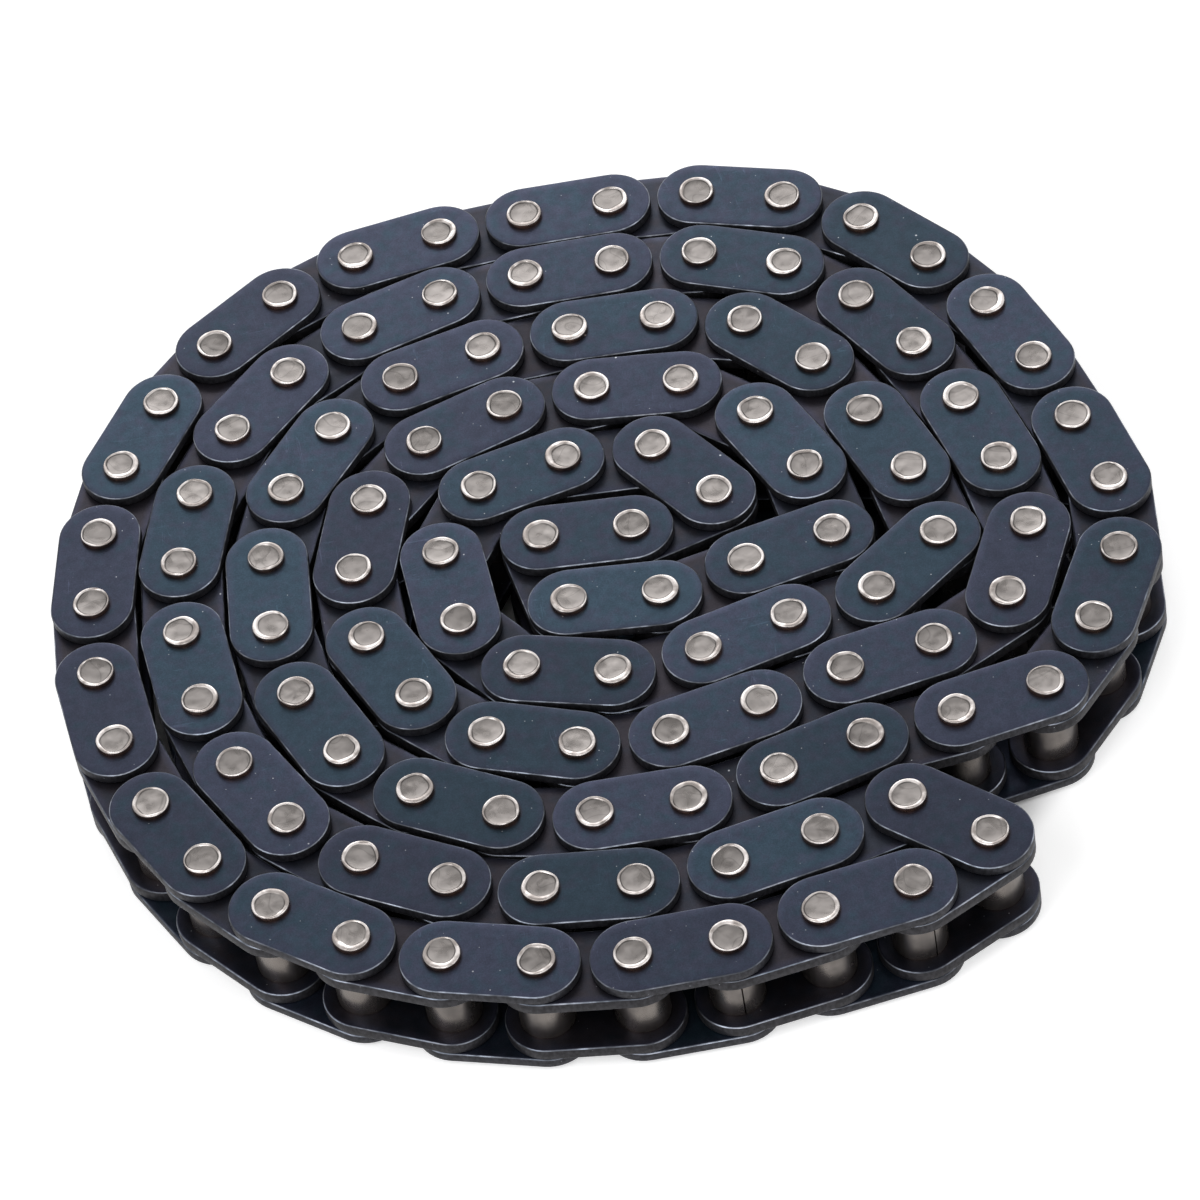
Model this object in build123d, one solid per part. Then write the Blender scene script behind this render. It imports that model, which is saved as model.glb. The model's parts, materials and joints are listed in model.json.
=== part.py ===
from build123d import *
import os
from math import atan2, degrees

import numpy as np

# Endless drive chain of the bush type, lying on its side in a doubled coil.
# Every pivot stands upright: the pins run along Z and the chain rests on their lower ends.
# Lengths are in millimetres.

# Chain section
pitch = 7.774
plate_end_gap = 0.62
inner_width = 5.1
inner_plate = 1.2
outer_plate = 1.0
plate_play = 0.08
plate_bevel = 0.1
pin_diameter = 3.01
pin_play = 0.04
bush_wall = 0.75
bush_seam = 0.12

# Riveted pin ends
rivet_stand = 0.5
rivet_flare = 0.06
rivet_bevel = 0.13
dish_depth = 0.1
dish_rim = 0.32
dish_slope = 0.14

# Coil
strand_gap = 0.08
link_count = 116
free_links = 17
open_seam_pins = (2, 4)

# Places of the pins that shape the coil, in pitches from its middle: pin, x, y.
# The links between them follow a smooth line.
shaping_pins = [
    (0, 2.7, -3.9), (1, 3.5, -4.5), (2, 2.6, -5.0), (4, 0.6, -5.3),
    (6, -1.4, -5.2), (8, -3.3, -4.4), (10, -4.7, -3.1), (12, -5.5, -1.3),
    (14, -5.6, 0.7), (16, -5.1, 2.7), (18, -3.8, 4.3), (20, -2.1, 5.2),
    (22, -0.1, 5.3), (24, 1.9, 5.2), (26, 3.6, 4.3), (28, 4.8, 2.7),
    (30, 5.4, 0.8), (31, 5.6, -0.2), (32, 5.5, -1.2), (34, 4.4, -2.8),
    (36, 2.4, -3.1), (38, 0.5, -3.5), (40, -1.5, -3.2), (42, -3.1, -2.0),
    (44, -3.7, -0.1), (46, -3.3, 1.9), (48, -1.8, 3.2), (50, 0.2, 3.4),
    (52, 2.1, 3.1), (54, 3.2, 1.4), (56, 3.6, -0.5), (57, 2.9, -1.1),
    (58, 1.9, -1.2), (60, -0.1, -1.6), (62, -1.6, -0.5), (64, -1.2, 1.4),
    (66, 0.8, 1.5), (67, 1.4, 0.7), (68, 0.4, 0.4), (69, -0.6, 0.5),
    (70, -0.4, -0.5), (71, 0.6, -0.6), (73, 2.5, -0.2), (74, 2.4, 0.8),
    (75, 2.0, 1.7), (76, 1.3, 2.4), (78, -0.7, 2.5), (80, -2.4, 1.5),
    (82, -2.6, -0.5), (84, -1.5, -2.1), (86, 0.4, -2.6), (88, 2.4, -2.2),
    (90, 4.2, -1.5), (91, 4.6, -0.6), (92, 4.5, 0.4), (94, 3.9, 2.3),
    (96, 2.7, 3.9), (98, 0.8, 4.4), (100, -1.2, 4.4), (102, -3.1, 3.6),
    (104, -4.3, 2.0), (106, -4.6, 0.1), (108, -4.2, -1.9), (110, -3.1, -3.5),
    (112, -1.2, -4.3), (114, 0.7, -4.4),
]
settle_rounds = 900
closing_rounds = 3000
push_share = 0.25
least_distance = 0.001

# Worked out from the sizes above
plate_height = pitch - plate_end_gap
bush_bore = pin_diameter + 2 * pin_play
bush_diameter = bush_bore + 2 * bush_wall
over_inner = inner_width + 2 * inner_plate
inside_outer = over_inner + 2 * plate_play
over_outer = inside_outer + 2 * outer_plate
pin_length = over_outer + 2 * rivet_stand
middle_height = pin_length / 2
free = range(1, free_links + 1)
open_pin = free[0]


def smooth_coil():
    """Places of all pins on a closed smooth line through the chosen ones."""
    known = sorted(shaping_pins)
    at = np.array([k[0] for k in known], float)
    xy = np.array([k[1:] for k in known], float) * pitch
    after, before = np.roll(at, -1), np.roll(at, 1)
    after[-1] += link_count
    before[0] -= link_count
    slope = (np.roll(xy, -1, 0) - np.roll(xy, 1, 0)) / (after - before)[:, None]
    places = []
    for pin in range(link_count):
        a = np.searchsorted(at, pin, side="right") - 1
        b = (a + 1) % len(at)
        span = after[a] - at[a]
        t = (pin - at[a]) / span
        lead = (2 * t**3 - 3 * t**2 + 1) * xy[a] + (t**3 - 2 * t**2 + t) * span * slope[a]
        trail = (3 * t**2 - 2 * t**3) * xy[b] + (t**3 - t**2) * span * slope[b]
        places.append(lead + trail)
    return np.array(places)


def link_ends(kind):
    """First and last pins of all outer links (kind 0) or all inner links (kind 1)."""
    first = np.arange(kind, link_count, 2)
    return first, (first + 1) % link_count


def restore_pitch(pins):
    """Bring every link back to one pitch about its own middle."""
    for kind in (0, 1):
        a, b = link_ends(kind)
        middle = (pins[a] + pins[b]) / 2
        along = pins[b] - pins[a]
        half = along / np.linalg.norm(along, axis=1)[:, None] * pitch / 2
        pins[a], pins[b] = middle - half, middle + half
    return pins


def push_apart(pins, reach):
    """Move links of one kind apart where they lie closer than reach, as their plates share a layer."""
    for kind in (0, 1):
        a, b = link_ends(kind)
        along = pins[b] - pins[a]
        offset = pins[:, None] - pins[a][None]
        share = (offset * along).sum(2) / (along**2).sum(1)
        share = np.clip(share, 0, 1)[..., None]
        away = offset - share * along
        distance = np.linalg.norm(away, axis=2)
        own = np.zeros_like(distance, bool)
        own[a, np.arange(len(a))] = True
        own[b, np.arange(len(b))] = True
        distance[own] = reach
        short = np.clip(reach - distance, 0, None)[..., None]
        push = away / np.maximum(distance, least_distance)[..., None] * short * push_share
        pins += push.sum(1)
        np.add.at(pins, a, -(push * (1 - share)).sum(0))
        np.add.at(pins, b, -(push * share).sum(0))
    return pins


def centre_on_plates(pins):
    """Put the middle of the whole outline at the origin."""
    return pins - (pins.max(0) + pins.min(0)) / 2


def settled_coil():
    """Places of all pins, with rigid links of one pitch and room between the strands."""
    pins = smooth_coil()
    reach = plate_height + strand_gap
    for _ in range(settle_rounds):
        pins = restore_pitch(push_apart(pins, reach))
    for _ in range(closing_rounds):
        pins = restore_pitch(pins)
    return centre_on_plates(pins)


def plate_solid(thickness, hole_diameter):
    """A straight-sided plate about its own middle, lying flat from z = 0 up."""
    outline = SlotCenterToCenter(pitch, plate_height)
    for side in (-1, 1):
        outline -= Pos(side * pitch / 2, 0) * Circle(hole_diameter / 2)
    plate = extrude(outline, thickness)
    rims = [
        edge
        for face in (plate.faces().sort_by(Axis.Z)[0], plate.faces().sort_by(Axis.Z)[-1])
        for edge in face.outer_wire().edges()
    ]
    return chamfer(rims, plate_bevel)


def bush_solid():
    """A bush curled from strip, with the slit where its edges meet, facing +Y."""
    wall = Circle(bush_diameter / 2) - Circle(bush_bore / 2)
    slit = Pos(0, bush_diameter / 2) * Rectangle(bush_seam, bush_diameter)
    return extrude(wall - slit, over_inner)


def rivet_profile(base):
    """Half section of a pin's upper end, from the shank at height base to its dished face."""
    radius = pin_diameter / 2
    rim = radius + rivet_flare
    top = base + rivet_stand
    return [
        (radius, base),
        (rim, base),
        (rim, top - rivet_bevel),
        (rim - rivet_bevel, top),
        (rim - dish_rim, top),
        (rim - dish_rim - dish_slope, top - dish_depth),
        (0, top - dish_depth),
    ]


def pin_solid():
    """A whole pin about its own middle, riveted at both ends."""
    upper = rivet_profile(over_outer / 2)
    lower = [(x, -z) for x, z in reversed(upper)]
    return revolve(Plane.XZ * make_face(Polyline(*upper, *lower, close=True)), Axis.Z)


def pin_end_solid():
    """The riveted end of a pin that is cut off flush inside its outer plate."""
    upper = rivet_profile(over_outer / 2)
    inside = inside_outer / 2
    foot = [(0, inside), (pin_diameter / 2, inside)]
    return revolve(Plane.XZ * make_face(Polyline(*upper, *foot, close=True)), Axis.Z)


def link_place(pins, link):
    """Middle of a link in plan, and its direction in degrees."""
    a, b = pins[link], pins[(link + 1) % link_count]
    x, y = (a + b) / 2
    return x, y, degrees(atan2(b[1] - a[1], b[0] - a[0]))


def is_outer(link):
    return link % 2 == 0


def placed_plate(pins, link, side):
    """Upper (side 1) or lower (side -1) plate of a link, where it lies in the coil."""
    thickness = outer_plate if is_outer(link) else inner_plate
    gap = inside_outer if is_outer(link) else inner_width
    x, y, turn = link_place(pins, link)
    height = middle_height + (gap / 2 if side > 0 else -gap / 2 - thickness)
    return Pos(x, y, height) * Rot(0, 0, turn) * plates[is_outer(link)]


def placed_bushes(pins, link):
    """The two bushes of an inner link. Seams face the next strand inwards, but for the chosen ones."""
    turn = link_place(pins, link)[2]
    solids = []
    for pin in (link, (link + 1) % link_count):
        seam = turn if pin in open_seam_pins else turn + 180
        solids.append(Pos(*pins[pin], middle_height - over_inner / 2) * Rot(0, 0, seam) * bush)
    return solids


def placed_pins(pins, link):
    """The two pins of an outer link. The open pivot keeps only the riveted ends of its pin."""
    solids = []
    for pin in (link, link + 1):
        spot = Pos(*pins[pin], middle_height)
        if pin == open_pin:
            solids += [spot * pin_end, spot * Rot(180, 0, 0) * pin_end]
        else:
            solids.append(spot * whole_pin)
    return solids


def save(node, solids):
    shape = Compound(children=solids) if len(solids) > 1 else solids[0]
    shape.label = node
    export_step(shape, f"parts/{node}.step")


def save_free_link(pins, link):
    """One link of the free stretch, as its two plates and its pair of pins or bushes."""
    name = f"link_{link:02d}"
    save(f"{name}_upper_plate", [placed_plate(pins, link, 1)])
    save(f"{name}_lower_plate", [placed_plate(pins, link, -1)])
    if is_outer(link):
        save(f"{name}_pins", placed_pins(pins, link))
    else:
        save(f"{name}_bushes", placed_bushes(pins, link))


def save_coil(pins):
    """The links that stay wound up, with like pieces together."""
    wound = [link for link in range(link_count) if link not in free]
    outer = [link for link in wound if is_outer(link)]
    inner = [link for link in wound if not is_outer(link)]
    for side, level in ((1, "upper"), (-1, "lower")):
        save(f"coil_outer_plates_{level}", [placed_plate(pins, link, side) for link in outer])
        save(f"coil_inner_plates_{level}", [placed_plate(pins, link, side) for link in inner])
    whole = [link for link in outer if open_pin not in (link, link + 1)]
    save("coil_pins", [pin for link in whole for pin in placed_pins(pins, link)])
    save("coil_bushes", [bush for link in inner for bush in placed_bushes(pins, link)])
    save("open_pivot_pins", placed_pins(pins, open_pin - 1))


pins = settled_coil()
plates = {True: plate_solid(outer_plate, pin_diameter), False: plate_solid(inner_plate, bush_diameter)}
bush = bush_solid()
whole_pin = pin_solid()
pin_end = pin_end_solid()

if __name__ == "__main__":
    os.makedirs("parts", exist_ok=True)
    save_coil(pins)
    for link in free:
        save_free_link(pins, link)
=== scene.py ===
import json
import math
import random

import bpy
import numpy as np
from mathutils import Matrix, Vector
from mathutils.geometry import tessellate_polygon

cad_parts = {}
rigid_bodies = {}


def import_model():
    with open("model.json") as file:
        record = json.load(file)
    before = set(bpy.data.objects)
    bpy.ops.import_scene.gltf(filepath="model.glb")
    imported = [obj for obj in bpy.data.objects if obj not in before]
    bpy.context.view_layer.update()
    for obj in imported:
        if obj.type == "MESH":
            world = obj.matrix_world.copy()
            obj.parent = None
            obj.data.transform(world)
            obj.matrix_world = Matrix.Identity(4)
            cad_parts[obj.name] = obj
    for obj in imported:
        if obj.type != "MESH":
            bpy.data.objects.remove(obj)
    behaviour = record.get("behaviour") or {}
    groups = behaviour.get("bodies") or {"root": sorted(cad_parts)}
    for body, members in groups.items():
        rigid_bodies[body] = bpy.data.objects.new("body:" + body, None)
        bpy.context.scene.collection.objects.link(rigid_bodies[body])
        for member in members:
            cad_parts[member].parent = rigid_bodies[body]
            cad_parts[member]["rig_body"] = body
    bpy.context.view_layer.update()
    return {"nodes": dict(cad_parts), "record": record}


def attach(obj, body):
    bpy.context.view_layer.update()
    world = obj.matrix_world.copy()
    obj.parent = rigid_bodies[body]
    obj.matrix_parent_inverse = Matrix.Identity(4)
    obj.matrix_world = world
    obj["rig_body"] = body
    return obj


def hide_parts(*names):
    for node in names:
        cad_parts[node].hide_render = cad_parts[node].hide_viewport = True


# Looks of the coiled drive chain: blued plates, riveted pin ends, curled bushes.
# Lengths are in metres. Coordinates are the CAD frame's.
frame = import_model()

# Sizes of the CAD solids
PITCH = 0.007774
PLATE_RADIUS = 0.003577
PIN_RADIUS = 0.001505
BUSH_RADIUS = 0.002295
RIVET_STAND = 0.0005
# Height of the chain's middle plane, and from there to the outside of an outer plate
MIDDLE = 0.00533
OUTER_FACE = 0.00483

# Plates made here: rolled edge, tinted border, and a ring of painted shade round a hole
EDGE_WIDTH = 0.00020
EDGE_DROP = 0.00012
EDGE_STEPS = (0, 22, 45, 67, 90)
TINT_WIDTH = 0.0008
HOLE_SHADE_WIDTH = 0.00028
END_SEGMENTS = 24

# Riveted ends made here. Each has its own lip, dish, slant and waves.
PIN_SEGMENTS = 44
RIM_RADIUS = 0.00156
RIM_ROLL = 0.00008
LEAST_LIP, LIP_SPREAD = 0.00010, 0.00017
LEAST_DEPTH, DEPTH_SPREAD = 0.00008, 0.00006
SHIFT_IN_LIPS = (0.35, 0.95)
MOST_SLANT = 0.055
UNEVENNESS = 0.000046
TOP_ROUGH = 1.4
LIFT = 0.000025
LIFTED_FROM = RIVET_STAND * 0.6
DISH_MARGIN = 0.00002
RIM_WAVES, LIFT_WAVES = 6, 4

# The rim from the plate up: radius, height, mark, share of the unevenness
RIM_RINGS = (
    (PIN_RADIUS, 0.0, 1.0, 0.0),
    (RIM_RADIUS - 0.00002, 0.00008, 1.0, 0.2),
    (RIM_RADIUS, RIVET_STAND * 0.50, 1.0, 0.6),
    (RIM_RADIUS, RIVET_STAND * 0.78, 0.7, 1.1),
    (RIM_RADIUS - 0.00003, RIVET_STAND * 0.94, 0.5, 1.2),
    (RIM_RADIUS - RIM_ROLL, RIVET_STAND, 0.5, TOP_ROUGH),
)
# The dish from its lip inwards: share of the lip's radius, inset from there, share of the
# depth, mark, share of the unevenness
DISH_RINGS = (
    (1.0, 0.0, 0.3, 0.42, 3.0),
    (1.0, 0.00006, 0.8, 0.12, 3.0),
    (1.0, 0.00016, 1.0, 0.0, 2.4),
    (0.45, 0.0, 0.95, 0.0, 1.6),
)

# Corner points are told apart in steps of a ten-millionth
POINT_STEPS = 1e7

# A piece's seed: steps per metre of its place and its height, and their weights
SEED_STEPS, SEED_HEIGHT_STEPS = 1e6, 1e4
SEED_X_WEIGHT, SEED_HEIGHT_WEIGHT = 7, 13


# Node helpers

def new_material(name):
    material = bpy.data.materials.new(name)
    material.use_nodes = True
    return material, material.node_tree, material.node_tree.nodes["Principled BSDF"]


def put(tree, socket, value):
    """Link a socket to another, or set its own value."""
    if isinstance(value, bpy.types.NodeSocket):
        tree.links.new(value, socket)
    else:
        socket.default_value = value


def maths(tree, operation, a, b=0.0, clamp=False):
    node = tree.nodes.new("ShaderNodeMath")
    node.operation = operation
    node.use_clamp = clamp
    put(tree, node.inputs[0], a)
    put(tree, node.inputs[1], b)
    return node.outputs[0]


def times(tree, a, b):
    return maths(tree, "MULTIPLY", a, b)


def plus(tree, a, b, clamp=False):
    return maths(tree, "ADD", a, b, clamp)


def centred(tree, value):
    """A noise with its middle at zero."""
    return maths(tree, "SUBTRACT", value, 0.5)


def ramp(tree, value, span, levels=(0.0, 1.0)):
    """Smooth step of a value, from the first level to the second over the span."""
    node = tree.nodes.new("ShaderNodeMapRange")
    node.interpolation_type = "SMOOTHSTEP"
    put(tree, node.inputs["Value"], value)
    for name, number in zip(("From Min", "From Max", "To Min", "To Max"), (*span, *levels)):
        node.inputs[name].default_value = number
    return node.outputs["Result"]


def blend(tree, share, a, b):
    """Colour a where share is 0 and b where it is 1."""
    node = tree.nodes.new("ShaderNodeMix")
    node.data_type = "RGBA"
    put(tree, node.inputs["Factor"], share)
    put(tree, node.inputs["A"], a)
    put(tree, node.inputs["B"], b)
    return node.outputs["Result"]


def scaled(tree, colour, value):
    """A colour times a value."""
    node = tree.nodes.new("ShaderNodeVectorMath")
    node.operation = "SCALE"
    linked = isinstance(colour, bpy.types.NodeSocket)
    put(tree, node.inputs[0], colour if linked else colour[:3])
    put(tree, node.inputs["Scale"], value)
    return node.outputs[0]


def place(tree, stretch=None):
    """The point on the piece, stretched along the axes."""
    point = tree.nodes.new("ShaderNodeTexCoord").outputs["Object"]
    if not stretch:
        return point
    node = tree.nodes.new("ShaderNodeVectorMath")
    node.operation = "MULTIPLY"
    put(tree, node.inputs[0], point)
    node.inputs[1].default_value = stretch
    return node.outputs[0]


def noise(tree, scale, detail=3.0, stretch=None, distortion=0.0):
    node = tree.nodes.new("ShaderNodeTexNoise")
    put(tree, node.inputs["Vector"], place(tree, stretch))
    node.inputs["Scale"].default_value = scale
    node.inputs["Detail"].default_value = detail
    node.inputs["Distortion"].default_value = distortion
    return node.outputs["Fac"]


def upright(tree):
    """How far a face looks straight up or down, 0 to 1."""
    normal = tree.nodes.new("ShaderNodeNewGeometry").outputs["Normal"]
    parts = tree.nodes.new("ShaderNodeSeparateXYZ")
    put(tree, parts.inputs[0], normal)
    return maths(tree, "ABSOLUTE", parts.outputs["Z"])


def attribute(tree, name):
    node = tree.nodes.new("ShaderNodeAttribute")
    node.attribute_name = name
    return node.outputs["Fac"]


def bump(tree, shader, height, strength, distance):
    node = tree.nodes.new("ShaderNodeBump")
    node.inputs["Strength"].default_value = strength
    node.inputs["Distance"].default_value = distance
    put(tree, node.inputs["Height"], height)
    put(tree, shader.inputs["Normal"], node.outputs["Normal"])


def seen_rays(tree):
    """1 for rays from the camera and from gloss and glass, 0 for those that light things."""
    rays = tree.nodes.new("ShaderNodeLightPath").outputs
    seen = maths(tree, "MAXIMUM", rays["Is Camera Ray"], rays["Is Glossy Ray"])
    return maths(tree, "MAXIMUM", seen, rays["Is Transmission Ray"])


# Materials. Scales are per metre. A span is a stretch of a noise's values, and levels are
# what it becomes there. Colours are linear.
NEARLY_ALL = (0.25, 0.8)
MIDDLE_PART = (0.3, 0.7)

# Hairlines, and the patches that have them
HAIRLINE_SCALE, HAIRLINE_SPAN = 1300, (0.006, 0.0)
HAIRLINE_STRETCHES = ((0.06, 1.0, 1.0), (1.0, 0.09, 1.0))
HAIRLINE_PATCH_SCALE, HAIRLINE_PATCH_SPAN = 260, (0.56, 0.66)

# Dust: scale of the cells, size of a speck, share of the cells that have one
COARSE_DUST = (430, 0.05, 0.16)
MEDIUM_DUST = (1000, 0.07, 0.10)
FINE_DUST = (1500, 0.10, 0.14)
DUST_COVER, FINE_DUST_COVER = 0.5, 0.3
SPECK_CORE = 0.45
DUST_GREY = (0.62, 0.64, 0.68, 1)

# Blued plates
OUTER_PLATE = {
    "cool": (0.034, 0.060, 0.088, 1),
    "warm": (0.046, 0.054, 0.088, 1),
    "side": (0.035, 0.035, 0.041, 1),
    "brightness": 0.64,
}
INNER_PLATE = {
    "cool": (0.034, 0.039, 0.055, 1),
    "warm": (0.046, 0.041, 0.052, 1),
    "side": (0.031, 0.030, 0.034, 1),
    "brightness": 0.62,
}
CLOUD_SCALE, CLOUD_SHARE = 190, 1.8
MOTTLE_SCALE, MOTTLE_SHARE = 900, 2.2
TONE_SPAN = (-0.1, 1.1)
BORDER_VIOLET, BORDER_SHARE = (0.060, 0.064, 0.108, 1), 0.5
LEVEL_SHUFFLE = 17.0
LEAST_LEVEL, LEVEL_SPREAD = 0.8, 0.4
GRAIN_SCALE, GRAIN_LEVELS = 9000, (0.84, 1.19)
SHADE_SCALE, SHADE_LEVELS = 1150, (0.915, 1.085)
SCRATCH_LEVELS = (1.0, 1.5)
# Painted shade round a pin's foot, tinged brown as a painted reflection of the pin's side
HOLE_SHADE, HOLE_SHADE_SHARE = (0.022, 0.016, 0.016, 1), 0.75
# The rolled edges are lighter than the flats: partly bright worn steel, partly a painted highlight
WORN_EDGE_SHEEN_BLUE, WORN_EDGE_SHEEN_GREY, EDGE_SCALE = (0.17, 0.21, 0.275, 1), (0.245, 0.245, 0.27, 1), 300
WEAR_SCALE, WEAR_SPAN, WEAR_LEVELS = 900, (0.34, 0.7), (0.35, 1.0)
WEAR_PATCH_SCALE, WEAR_PATCH_SPAN, WEAR_PATCH_LEVELS = 230, (0.38, 0.64), (0.5, 1.5)
SHEAR_SCALE, SHEAR_STRETCH = 3400, (1.0, 1.0, 0.6)
SHEAR_SPAN, SHEAR_LEVELS = (0.3, 0.72), (0.58, 1.34)
FLAT_SPAN, STEEP_SPAN = (0.85, 0.985), (0.5, 0.25)
PLATE_METAL = 0.85
PLATE_ROUGH_SCALE, PLATE_ROUGHNESS, SIDE_ROUGHNESS = 700, (0.30, 0.42), 0.2
PLATE_BUMP = (0.12, 0.00002)

# Pin ends. Their mark is 0 in the dish, near 0.5 on the rim and 1 on the side.
SMEAR_SCALE = 800
DISH_DARK, DISH_LIGHT = (0.158, 0.145, 0.138, 1), (0.225, 0.208, 0.199, 1)
CREASE_SCALE, CREASE_SPAN, CREASE_LEVELS = 330, (0.0, 0.02), (0.78, 1.0)
LEAST_DISH_LEVEL, DISH_LEVEL_SPREAD = 0.8, 0.45
RIM_SCALE, RIM_SPAN = 700, (0.38, 0.62)
RIM_BRIGHT, RIM_DULL = (0.68, 0.635, 0.615, 1), (0.30, 0.268, 0.252, 1)
HEAT_SCALE = 800
HEAT_BROWN, HEAT_DARK = (0.34, 0.19, 0.13, 1), (0.10, 0.065, 0.055, 1)
RIM_ZONE, SIDE_ZONE = (0.2, 0.42), (0.6, 0.8)
WALL_START, WALL_END = (0.0, 0.12), (0.44, 0.34)
WALL_SCALE, WALL_SPAN, WALL_SHADE = 480, (0.42, 0.56), (0.0, 0.6)
PIN_METAL = 0.95
PIN_ROUGHNESS = (0.24, 0.38)
PIN_BUMP = (0.3, 0.00005)

# Bushes
AXIAL_SCALE, AXIAL_STRETCH, AXIAL_LEVELS = 1500, (1.0, 1.0, 0.05), (0.92, 1.08)
BUSH_STAIN_SCALE = 330
BUSH_LIGHT, BUSH_DARK = (0.20, 0.178, 0.162, 1), (0.12, 0.108, 0.102, 1)
BUSH_METAL = 0.95
BUSH_STAIN_SPAN, BUSH_ROUGHNESS = (0.2, 0.8), (0.24, 0.34)
BUSH_BUMP = (0.04, 0.00002)


def scratches(tree):
    """Faint hairlines in two directions."""
    lines = []
    for stretch in HAIRLINE_STRETCHES:
        way = centred(tree, noise(tree, HAIRLINE_SCALE, 1.0, stretch, distortion=0.5))
        lines.append(ramp(tree, maths(tree, "ABSOLUTE", way), HAIRLINE_SPAN))
    where = ramp(tree, noise(tree, HAIRLINE_PATCH_SCALE, detail=1.0), HAIRLINE_PATCH_SPAN)
    return times(tree, maths(tree, "MAXIMUM", *lines), where)


def specks(tree, scale, size, share):
    """Small round spots, in some of the cells of a given scale."""
    node = tree.nodes.new("ShaderNodeTexVoronoi")
    put(tree, node.inputs["Vector"], place(tree))
    node.inputs["Scale"].default_value = scale
    near = ramp(tree, node.outputs["Distance"], (size, size * SPECK_CORE))
    parts = tree.nodes.new("ShaderNodeSeparateColor")
    put(tree, parts.inputs[0], node.outputs["Color"])
    return times(tree, near, maths(tree, "LESS_THAN", parts.outputs[0], share))


def dust(tree):
    """How much dust covers the steel."""
    large = plus(tree, specks(tree, *COARSE_DUST), specks(tree, *MEDIUM_DUST), clamp=True)
    fine = times(tree, specks(tree, *FINE_DUST), FINE_DUST_COVER)
    return maths(tree, "MAXIMUM", times(tree, large, DUST_COVER), fine)


def plate_face(tree, grain, cool, warm, brightness):
    """The flats: cool to warm with a violet border, each plate at its own level, scratched, with
    painted shade round the holes.
    """
    own = attribute(tree, "tone")
    cloud = centred(tree, noise(tree, CLOUD_SCALE, distortion=0.6))
    mottle = centred(tree, noise(tree, MOTTLE_SCALE, detail=2.0))
    drift = plus(tree, times(tree, cloud, CLOUD_SHARE), times(tree, mottle, MOTTLE_SHARE))
    face = blend(tree, ramp(tree, plus(tree, own, drift), TONE_SPAN), cool, warm)
    border = times(tree, attribute(tree, "border"), BORDER_SHARE)
    face = blend(tree, border, face, BORDER_VIOLET)
    again = maths(tree, "FRACT", times(tree, own, LEVEL_SHUFFLE))
    spread = times(tree, again, LEVEL_SPREAD * brightness)
    for level in (
        plus(tree, LEAST_LEVEL * brightness, spread),
        ramp(tree, grain, NEARLY_ALL, GRAIN_LEVELS),
        ramp(tree, noise(tree, SHADE_SCALE), MIDDLE_PART, SHADE_LEVELS),
        ramp(tree, scratches(tree), (0.0, 1.0), SCRATCH_LEVELS),
    ):
        face = scaled(tree, face, level)
    # Painted shade on the plate round each hole, where the pin stands on it
    stain_and_shade = times(tree, attribute(tree, "mark"), HOLE_SHADE_SHARE)
    return blend(tree, stain_and_shade, face, HOLE_SHADE)


def worn_edge_and_sheen(tree):
    """The rolled edges, lighter than the flats as a painted highlight, and worn to bright steel
    here and there.
    """
    wear = ramp(tree, noise(tree, WEAR_SCALE), WEAR_SPAN, WEAR_LEVELS)
    patches = noise(tree, WEAR_PATCH_SCALE, detail=2.0)
    wear = times(tree, wear, ramp(tree, patches, WEAR_PATCH_SPAN, WEAR_PATCH_LEVELS))
    return scaled(tree, blend(tree, noise(tree, EDGE_SCALE), WORN_EDGE_SHEEN_BLUE, WORN_EDGE_SHEEN_GREY), wear)


def plate_steel(name, cool, warm, side, brightness):
    """Blued plate: a tone of its own per plate, worn edges lightened as a painted highlight, rough
    sheared sides, dust.
    """
    material, tree, shader = new_material(name)
    grain = noise(tree, GRAIN_SCALE, detail=4.0)
    shear = noise(tree, SHEAR_SCALE, stretch=SHEAR_STRETCH)
    up = upright(tree)
    steep = ramp(tree, up, STEEP_SPAN)
    face = plate_face(tree, grain, cool, warm, brightness)
    # Faces that are not flat take the edge colour, lighter as a painted highlight
    colour = blend(tree, ramp(tree, up, FLAT_SPAN), worn_edge_and_sheen(tree), face)
    sheared = scaled(tree, side, ramp(tree, shear, SHEAR_SPAN, SHEAR_LEVELS))
    colour = blend(tree, steep, colour, sheared)
    put(tree, shader.inputs["Base Color"], blend(tree, dust(tree), colour, DUST_GREY))
    shader.inputs["Metallic"].default_value = PLATE_METAL
    polish = noise(tree, PLATE_ROUGH_SCALE, detail=4.0)
    rough = ramp(tree, polish, NEARLY_ALL, PLATE_ROUGHNESS)
    rough = plus(tree, rough, times(tree, steep, SIDE_ROUGHNESS))
    put(tree, shader.inputs["Roughness"], rough)
    bump(tree, shader, plus(tree, grain, times(tree, shear, steep)), *PLATE_BUMP)
    return material


def pin_dish(tree, smear):
    """The worn dish, creased, each pin's at its own level."""
    dish = blend(tree, ramp(tree, smear, MIDDLE_PART), DISH_DARK, DISH_LIGHT)
    folds = centred(tree, noise(tree, CREASE_SCALE, detail=0.0, distortion=0.5))
    crease = ramp(tree, maths(tree, "ABSOLUTE", folds), CREASE_SPAN, CREASE_LEVELS)
    spread = times(tree, attribute(tree, "tone"), DISH_LEVEL_SPREAD)
    return scaled(tree, scaled(tree, dish, crease), plus(tree, LEAST_DISH_LEVEL, spread))


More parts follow.
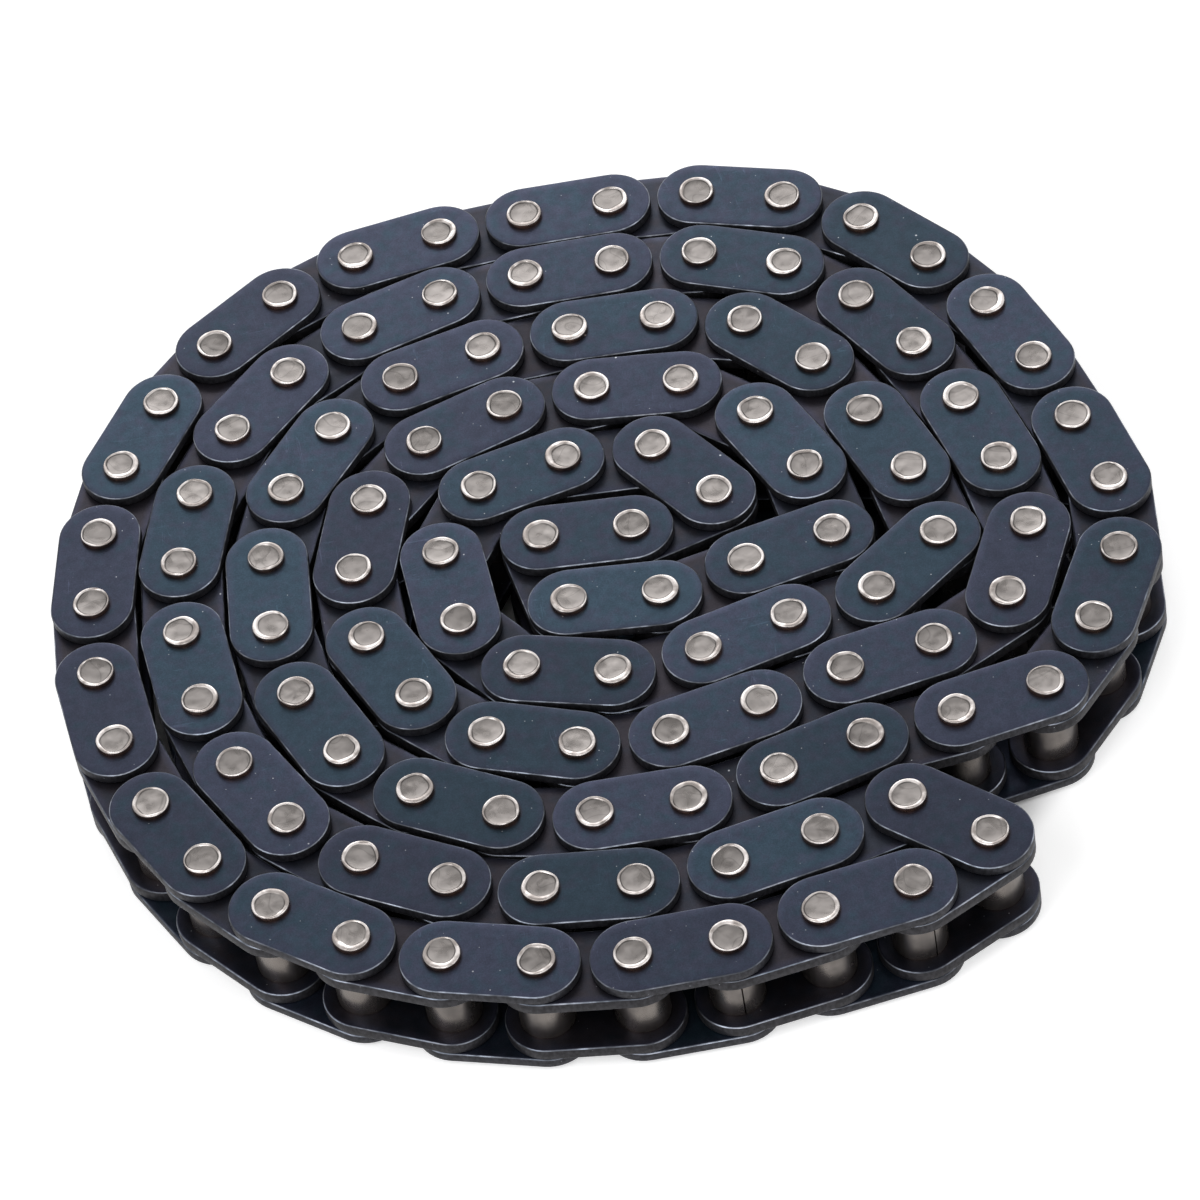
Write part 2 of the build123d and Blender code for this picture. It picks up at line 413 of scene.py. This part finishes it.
def pin_steel():
    """Pin end: grey dish with a shaded wall, bright rolled rim, side browned by heat."""
    material, tree, shader = new_material("pin_end_steel")
    zone = attribute(tree, "mark")
    smear = noise(tree, SMEAR_SCALE, detail=2.0, distortion=0.5)
    dulled = ramp(tree, noise(tree, RIM_SCALE, detail=2.0), RIM_SPAN)
    rim = blend(tree, dulled, RIM_BRIGHT, RIM_DULL)
    side = blend(tree, ramp(tree, noise(tree, HEAT_SCALE), MIDDLE_PART), HEAT_BROWN, HEAT_DARK)
    colour = blend(tree, ramp(tree, zone, RIM_ZONE), pin_dish(tree, smear), rim)
    wall = times(tree, ramp(tree, zone, WALL_START), ramp(tree, zone, WALL_END))
    shade = ramp(tree, noise(tree, WALL_SCALE, detail=1.0), WALL_SPAN, WALL_SHADE)
    light = maths(tree, "SUBTRACT", 1.0, times(tree, wall, shade))
    colour = blend(tree, ramp(tree, zone, SIDE_ZONE), scaled(tree, colour, light), side)
    put(tree, shader.inputs["Base Color"], colour)
    shader.inputs["Metallic"].default_value = PIN_METAL
    put(tree, shader.inputs["Roughness"], ramp(tree, smear, NEARLY_ALL, PIN_ROUGHNESS))
    bump(tree, shader, smear, *PIN_BUMP)
    return material


def bush_steel():
    """Bush: warm gun-metal with fine marks along its axis."""
    material, tree, shader = new_material("bush_barrel_steel")
    marks = noise(tree, AXIAL_SCALE, detail=2.0, stretch=AXIAL_STRETCH)
    stain_and_shade = noise(tree, BUSH_STAIN_SCALE)
    colour = blend(tree, ramp(tree, stain_and_shade, MIDDLE_PART), BUSH_LIGHT, BUSH_DARK)
    colour = scaled(tree, colour, ramp(tree, marks, NEARLY_ALL, AXIAL_LEVELS))
    put(tree, shader.inputs["Base Color"], colour)
    shader.inputs["Metallic"].default_value = BUSH_METAL
    rough = ramp(tree, stain_and_shade, BUSH_STAIN_SPAN, BUSH_ROUGHNESS)
    put(tree, shader.inputs["Roughness"], rough)
    bump(tree, shader, marks, *BUSH_BUMP)
    return material


# Meshes

class Shell:
    """A mesh in the making, ring by ring.

    Its points have a mark, a border share and their piece's tone.
    """

    def __init__(self):
        self.points, self.faces, self.smooth = [], [], []
        self.values = {"mark": [], "border": [], "tone": []}
        self.tone = 0.0

    def ring(self, points, mark=0.0, border=0.0):
        start = len(self.points)
        self.points += points
        for name, value in (("mark", mark), ("border", border), ("tone", self.tone)):
            self.values[name] += [value] * len(points)
        return list(range(start, len(self.points)))

    def face(self, corners, smooth=True):
        self.faces.append(corners)
        self.smooth.append(smooth)

    def band(self, low, high, smooth=True):
        """Quads between two rings that run anticlockwise, facing away from the middle."""
        for k in range(len(low)):
            n = (k + 1) % len(low)
            self.face((low[k], low[n], high[n], high[k]), smooth)

    def lid(self, outer, holes, up):
        """A flat face with holes, which looks up or down."""
        order = [v for ring in (outer, *holes) for v in ring]
        loops = [[Vector(self.points[v]) for v in ring] for ring in (outer, *holes)]
        for tri in tessellate_polygon(loops):
            corners = [order[v] for v in tri]
            a, b, c = (self.points[v] for v in corners)
            turn = (b[0] - a[0]) * (c[1] - a[1]) - (b[1] - a[1]) * (c[0] - a[0])
            self.face(corners if (turn > 0) == up else corners[::-1], False)

    def finish(self, node_name, suffix, material):
        """Makes the piece that stands for a CAD node, on the node's body."""
        mesh = bpy.data.meshes.new(node_name + suffix)
        mesh.from_pydata(self.points, [], self.faces)
        for name, values in self.values.items():
            mesh.attributes.new(name, "FLOAT", "POINT").data.foreach_set("value", values)
        mesh.polygons.foreach_set("use_smooth", self.smooth)
        mesh.update()
        mesh.materials.append(material)
        piece = bpy.data.objects.new(node_name + suffix, mesh)
        bpy.context.scene.collection.objects.link(piece)
        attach(piece, frame["nodes"][node_name]["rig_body"])
        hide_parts(node_name)


def solids_of(node):
    """The corner points of each separate solid in a CAD node."""
    points = np.array([v.co for v in node.data.vertices], float)
    rounded = np.round(points * POINT_STEPS).astype(np.int64)
    spots, same = np.unique(rounded, axis=0, return_inverse=True)
    same = same.reshape(-1)
    corners = np.array([[same[v] for v in face.vertices] for face in node.data.polygons])
    label = np.arange(len(spots))
    while True:
        joined = label.copy()
        np.minimum.at(joined, corners, label[corners].min(1)[:, None])
        joined = joined[joined]
        if (joined == label).all():
            return [spots[label == k] / POINT_STEPS for k in np.unique(label)]
        label = joined


def seeded(x, y, z=0.0):
    """Random numbers that depend on a piece's place alone."""
    seed = int(x * SEED_STEPS) * SEED_X_WEIGHT + int(y * SEED_STEPS)
    return random.Random(seed + int(z * SEED_HEIGHT_STEPS) * SEED_HEIGHT_WEIGHT)


# Plates

def slot_ring(x, y, turn, radius, z):
    """Points round a plate's outline at one height."""
    ring = []
    for end in (0, 1):
        way = turn + math.pi * end
        cx, cy = x + PITCH / 2 * math.cos(way), y + PITCH / 2 * math.sin(way)
        for k in range(END_SEGMENTS + 1):
            a = way + math.pi * (k / END_SEGMENTS - 0.5)
            ring.append((cx + radius * math.cos(a), cy + radius * math.sin(a), z))
    return ring


def round_ring(x, y, radius, z):
    angles = [2 * math.pi * k / PIN_SEGMENTS for k in range(PIN_SEGMENTS)]
    return [(x + radius * math.cos(a), y + radius * math.sin(a), z) for a in angles]


def add_rim(shell, x, y, turn, low, high):
    """The plate's side with rolled edges. Returns the inner rings of its two borders."""
    rings = [shell.ring(slot_ring(x, y, turn, PLATE_RADIUS - TINT_WIDTH, low))]
    for level, way, steps in ((low, 1, EDGE_STEPS), (high, -1, EDGE_STEPS[::-1])):
        for step in steps:
            a = math.radians(step)
            radius = PLATE_RADIUS - EDGE_WIDTH * (1 - math.sin(a))
            z = level + way * EDGE_DROP * (1 - math.cos(a))
            rings.append(shell.ring(slot_ring(x, y, turn, radius, z), border=1.0))
    rings.append(shell.ring(slot_ring(x, y, turn, PLATE_RADIUS - TINT_WIDTH, high)))
    for a, b in zip(rings, rings[1:]):
        shell.band(a, b)
    return rings[0], rings[-1]


def add_hole(shell, x, y, radius, low, high):
    """A hole with a ring of painted shade round it. Returns that ring's outer rings, low and high.
    """
    inside = [shell.ring(round_ring(x, y, radius, z), mark=1.0) for z in (low, high)]
    outside = [shell.ring(round_ring(x, y, radius + HOLE_SHADE_WIDTH, z)) for z in (low, high)]
    shell.band(inside[1], inside[0])
    shell.band(outside[1], inside[1], False)
    shell.band(inside[0], outside[0], False)
    return outside


def add_plate(shell, points, hole_radius):
    """One plate in the place of a CAD plate's corner points."""
    x, y, _ = (points.min(0) + points.max(0)) / 2
    low, high = points[:, 2].min(), points[:, 2].max()
    along = np.linalg.eigh(np.cov(points[:, :2].T))[1][:, 1]
    turn = math.atan2(along[1], along[0])
    shell.tone = seeded(x, y, low).random()
    bottom, top = add_rim(shell, x, y, turn, low, high)
    reach = PITCH / 2
    ends = [(x + way * reach * along[0], y + way * reach * along[1]) for way in (-1, 1)]
    holes = [add_hole(shell, cx, cy, hole_radius, low, high) for cx, cy in ends]
    shell.lid(bottom, [hole[0] for hole in holes], False)
    shell.lid(top, [hole[1] for hole in holes], True)


def rounded_plates(node_name, hole_radius, material):
    shell = Shell()
    for points in solids_of(frame["nodes"][node_name]):
        add_plate(shell, points, hole_radius)
    shell.finish(node_name, "_rounded", material)


# Riveted pins

def waves(rng, most):
    """A random closed wave round the pin, of two to the given number of crests."""
    terms = [
        (k, rng.uniform(-1, 1) / k, rng.uniform(0, 2 * math.pi))
        for k in range(2, most + 1)
    ]
    return lambda a: sum(size * math.sin(k * a + phase) for k, size, phase in terms)


def head_rings(rng):
    """Rings of one riveted end from the plate to its middle, and its lip's width.

    A ring is its radius, height, mark, share of the unevenness, and whether it is in the dish.
    """
    depth = LEAST_DEPTH + DEPTH_SPREAD * rng.random()
    lip = LEAST_LIP + LIP_SPREAD * rng.random()
    inner = RIM_RADIUS - RIM_ROLL - lip
    rings = [(*ring, False) for ring in RIM_RINGS]
    for share, inset, deep, mark, rough in DISH_RINGS:
        rings.append((inner * share - inset, RIVET_STAND - depth * deep, mark, rough, True))
    return rings, lip


def add_head(shell, x, y, base, way, rng):
    """One riveted end, its dish off centre and aslant. Returns its first ring.

    Way is 1 for an upper end and -1 for a lower one.
    """
    uneven, lift = waves(rng, RIM_WAVES), waves(rng, LIFT_WAVES)
    (rings, lip), turn = head_rings(rng), rng.uniform(0, 2 * math.pi)
    shift, slant = lip * rng.uniform(*SHIFT_IN_LIPS), rng.uniform(0, MOST_SLANT)
    made = []
    for radius, height, mark, rough, dished in rings:
        ring = []
        for k in range(PIN_SEGMENTS):
            a = 2 * math.pi * k / PIN_SEGMENTS
            r = radius + rough * UNEVENNESS * uneven(a)
            z = height + (LIFT * lift(a) if height > LIFTED_FROM else 0.0)
            spot = Vector((r * math.cos(a), r * math.sin(a)))
            if dished:
                z -= slant * r * (1 + math.cos(a - turn)) / 2
                spot += shift * Vector((math.cos(turn), math.sin(turn)))
                rim = TOP_ROUGH * UNEVENNESS * uneven(math.atan2(spot.y, spot.x))
                spot *= min(1.0, (radius + lip - DISH_MARGIN + rim) / spot.length)
            ring.append((x + spot.x, y + spot.y, base + way * min(z, RIVET_STAND)))
        made.append(shell.ring(ring, mark))
    for a, b in zip(made, made[1:]):
        shell.band(*((a, b) if way > 0 else (b, a)))
    middle = np.mean([shell.points[v] for v in made[-1]], axis=0)
    tip = shell.ring([tuple(middle)])[0]
    for k in range(PIN_SEGMENTS):
        a, b = made[-1][k], made[-1][(k + 1) % PIN_SEGMENTS]
        shell.face((a, b, tip) if way > 0 else (b, a, tip))
    return made[0]


def add_pin(shell, points):
    """A whole pin, or one of its riveted ends where the CAD pin is cut."""
    x, y, _ = (points.min(0) + points.max(0)) / 2
    rng = seeded(x, y)
    shell.tone = rng.random()
    heights = points[:, 2] - MIDDLE
    ways = [way for way in (-1, 1) if (heights * way).max() > OUTER_FACE]
    firsts = [add_head(shell, x, y, MIDDLE + way * OUTER_FACE, way, rng) for way in ways]
    if len(firsts) == 2:
        shell.band(*firsts)
        return
    way = ways[0]
    foot = shell.ring(round_ring(x, y, PIN_RADIUS, MIDDLE + way * np.abs(heights).min()), mark=1.0)
    shell.band(*((foot, firsts[0]) if way > 0 else (firsts[0], foot)))
    shell.face(foot[::-1] if way > 0 else foot, False)


def riveted_pins(node_name, material):
    shell = Shell()
    for points in solids_of(frame["nodes"][node_name]):
        add_pin(shell, points)
    shell.finish(node_name, "_riveted", material)


def dress():
    """Gives every CAD node its material, plates rolled edges and pins riveted ends."""
    materials = {
        "outer_plate_steel": plate_steel("outer_plate_blued", **OUTER_PLATE),
        "inner_plate_steel": plate_steel("inner_plate_blued", **INNER_PLATE),
        "pin_steel": pin_steel(),
        "bush_steel": bush_steel(),
    }
    hole_radii = {"outer_plate_steel": PIN_RADIUS, "inner_plate_steel": BUSH_RADIUS}
    slots = {s["node"]: s["material_slot"] for s in frame["record"]["subparts"]}
    for name, node in frame["nodes"].items():
        slot = slots[name]
        node.data.materials.clear()
        node.data.materials.append(materials[slot])
        if slot == "pin_steel":
            riveted_pins(name, materials[slot])
        elif slot in hole_radii:
            rounded_plates(name, hole_radii[slot], materials[slot])


# Studio. The floor lies a little under the chain. It glows white where it is seen, but for the
# part under the coil, where the glow is left out as painted shade so that the gaps between strands
# stay dark.
WHITE = (1, 1, 1, 1)
FLOOR_HALF = 3.0
FLOOR_DROP = 0.00002
FLOOR_PAINT = (0.9, 0.9, 0.9, 1)
FLOOR_GLOW = 0.45
GLOW_STARTS = (0.040, 0.0435)

# The surroundings are white where they are seen, and light the chain at half of that
SKY_LIGHT = 0.5
SKY_SEEN = 1.0

# Lamps that look at the origin: place, diameter, power
LAMPS = {
    "key_left": ((-0.45, -0.35, 0.7), 0.5, 2.4),
    "fill_right": ((0.6, -0.3, 0.45), 0.5, 1.2),
    "front_low": ((0.0, -0.75, 0.35), 0.4, 1.2),
    "back_soft": ((0.0, 0.9, 0.5), 0.7, 2.6),
}

# The photograph's view, fitted to the places of the pins
CAMERA_PLACE = (-0.00099, -0.31807, 0.37896)
CAMERA_TURN = (39.914, 6.823, -8.154)
CAMERA_LENS = 172.467


def floor():
    """A white floor that keeps the shadow of the chain."""
    mesh = bpy.data.meshes.new("studio_floor")
    s = FLOOR_HALF
    mesh.from_pydata([(-s, -s, 0), (s, -s, 0), (s, s, 0), (-s, s, 0)], [], [(0, 1, 2, 3)])
    piece = bpy.data.objects.new("studio_floor", mesh)
    piece.location.z = -FLOOR_DROP
    bpy.context.scene.collection.objects.link(piece)
    material, tree, shader = new_material("floor_white")
    shader.inputs["Base Color"].default_value = FLOOR_PAINT
    shader.inputs["Roughness"].default_value = 1.0
    shader.inputs["Specular IOR Level"].default_value = 0.0
    shader.inputs["Emission Color"].default_value = WHITE
    out = tree.nodes.new("ShaderNodeVectorMath")
    out.operation = "LENGTH"
    put(tree, out.inputs[0], place(tree))
    glow = times(tree, seen_rays(tree), FLOOR_GLOW)
    # Painted shade: no glow on the floor under the coil
    glow = times(tree, glow, ramp(tree, out.outputs["Value"], GLOW_STARTS))
    put(tree, shader.inputs["Emission Strength"], glow)
    mesh.materials.append(material)


def world():
    """Pale surroundings that the camera and the metal see as white."""
    sky = bpy.data.worlds.new("studio_world")
    sky.use_nodes = True
    bpy.context.scene.world = sky
    tree = sky.node_tree
    background = tree.nodes["Background"]
    background.inputs["Color"].default_value = WHITE
    extra = times(tree, seen_rays(tree), SKY_SEEN - SKY_LIGHT)
    put(tree, background.inputs["Strength"], plus(tree, SKY_LIGHT, extra))


def lamp(name, place_at, size, power):
    light = bpy.data.lights.new(name, "AREA")
    light.shape = "DISK"
    light.size = size
    light.energy = power
    piece = bpy.data.objects.new(name, light)
    piece.location = place_at
    piece.rotation_mode = "QUATERNION"
    piece.rotation_quaternion = (-Vector(place_at)).to_track_quat("-Z", "Y")
    bpy.context.scene.collection.objects.link(piece)


def lights():
    world()
    for name, (place_at, size, power) in LAMPS.items():
        lamp(name, place_at, size, power)
    bpy.context.scene.view_settings.view_transform = "Standard"


def camera():
    data = bpy.data.cameras.new("camera")
    data.lens = CAMERA_LENS
    piece = bpy.data.objects.new("camera", data)
    piece.location = CAMERA_PLACE
    piece.rotation_euler = [math.radians(a) for a in CAMERA_TURN]
    bpy.context.scene.collection.objects.link(piece)
    bpy.context.scene.camera = piece


dress()
floor()
lights()
camera()
